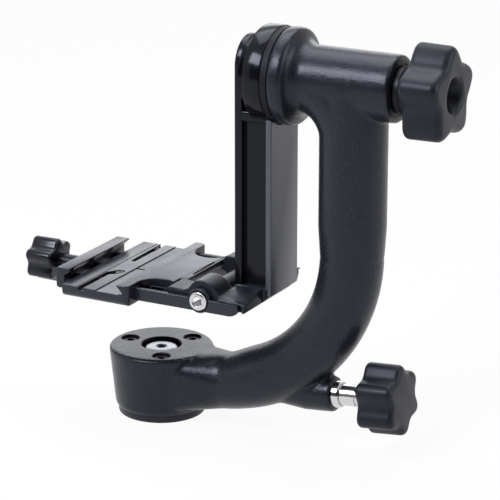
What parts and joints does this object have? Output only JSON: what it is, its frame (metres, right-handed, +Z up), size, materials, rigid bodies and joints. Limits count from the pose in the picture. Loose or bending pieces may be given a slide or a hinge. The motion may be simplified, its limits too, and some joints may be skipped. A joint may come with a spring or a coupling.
{
  "type": "gimbal tripod head",
  "caption": "Side-mount gimbal head for a long lens: bent support arm on a panning base, hanging swing arm and a fold-up dovetail lens platform, with lobed lock knobs.",
  "frame": {"origin": "centre of the tripod stud's hole at the underside of the base disc, on the pan axis", "axes": "+Z up along the pan axis, +X from the pan axis towards the tilt knob, +Y away from the side shown in the picture"},
  "size_m": [0.2625, 0.09, 0.2333],
  "materials": {
    "disc": "black anodised, satin",
    "casting": "fine speckled black powder coat",
    "gloss_black": "gloss black paint",
    "satin_black": "black anodised, satin",
    "knob": "matt black moulding",
    "gloss_knob": "gloss black moulding",
    "steel": "turned",
    "bright_steel": "bright stainless",
    "black_steel": "black oxide",
    "friction": "dark grey friction material",
    "nylon": "natural nylon",
    "brass": "turned"
  },
  "bodies": {
    "base": {"base_disc": "disc", "pan_spindle": "steel", "disc_screws": "steel", "brake_drum": "steel", "preload_washer": "steel", "centre_screw": "bright_steel"},
    "support": {"support_arm": "casting", "pan_bearing_lower": "steel", "pan_bearing_upper": "steel", "bearing_retainer": "steel", "housing_cap_screws": "black_steel", "pan_lock_collar": "bright_steel", "tilt_bearing_inner": "steel", "tilt_bearing_outer": "steel", "friction_ring": "friction"},
    "pan_brake": {"brake_shoe": "nylon"},
    "pan_lock": {"pan_lock_rod": "bright_steel", "pan_knob": "knob"},
    "swing": {"swing_arm": "gloss_black", "tilt_shaft": "steel", "shaft_screws": "black_steel", "hinge_bolt": "bright_steel", "hinge_nut": "steel", "detent_pin": "bright_steel"},
    "tilt_lock": {"tilt_knob": "knob", "tilt_knob_insert": "brass", "tilt_washer": "steel"},
    "platform": {"lens_platform": "satin_black", "stop_screws": "bright_steel"},
    "jaw": {"clamp_jaw": "satin_black", "guide_pins": "bright_steel"},
    "clamp_turn": {"clamp_screw": "bright_steel", "clamp_knob": "gloss_knob", "clamp_knob_collar": "gloss_knob"}
  },
  "joints": [
    {"name": "pan", "type": "hinge", "parent": "base", "child": "support", "pos_m": [0, 0, 0.02], "axis": [0, 0, 1], "continuous": true},
    {"name": "pan_knob_turn", "type": "hinge", "parent": "pan_brake", "child": "pan_lock", "pos_m": [0.112, 0, 0.0289], "axis": [-0.9962, 0, -0.0872], "range_deg": [-361, 81]},
    {"name": "pan_brake_slide", "type": "slide", "parent": "support", "child": "pan_brake", "axis": [-0.9962, 0, -0.0872], "range_m": [-0.00125, 0.00028]},
    {"name": "tilt", "type": "hinge", "parent": "support", "child": "swing", "pos_m": [0.1, 0, 0.2065], "axis": [1, 0, 0], "continuous": true},
    {"name": "tilt_knob_turn", "type": "hinge", "parent": "swing", "child": "tilt_lock", "pos_m": [0.16, 0, 0.2065], "axis": [-1, 0, 0], "range_deg": [-360, 60]},
    {"name": "platform_fold", "type": "hinge", "parent": "swing", "child": "platform", "pos_m": [0.0453, 0, 0.0835], "axis": [0, 1, 0], "range_deg": [0, 90]},
    {"name": "jaw_slide", "type": "slide", "parent": "platform", "child": "jaw", "axis": [1, 0, 0], "range_m": [0, 0.0056]},
    {"name": "clamp_knob_turn", "type": "hinge", "parent": "jaw", "child": "clamp_turn", "pos_m": [-0.07, 0, 0.0791], "axis": [1, 0, 0], "range_deg": [0, 1980]}
  ],
  "couplings": [
    {"joint": "jaw_slide", "follows": "clamp_knob_turn", "m_per_rad": 0.00015915},
    {"joint": "pan_knob_turn", "follows": "pan_brake_slide", "rad_per_m": 5026.5}
  ]
}
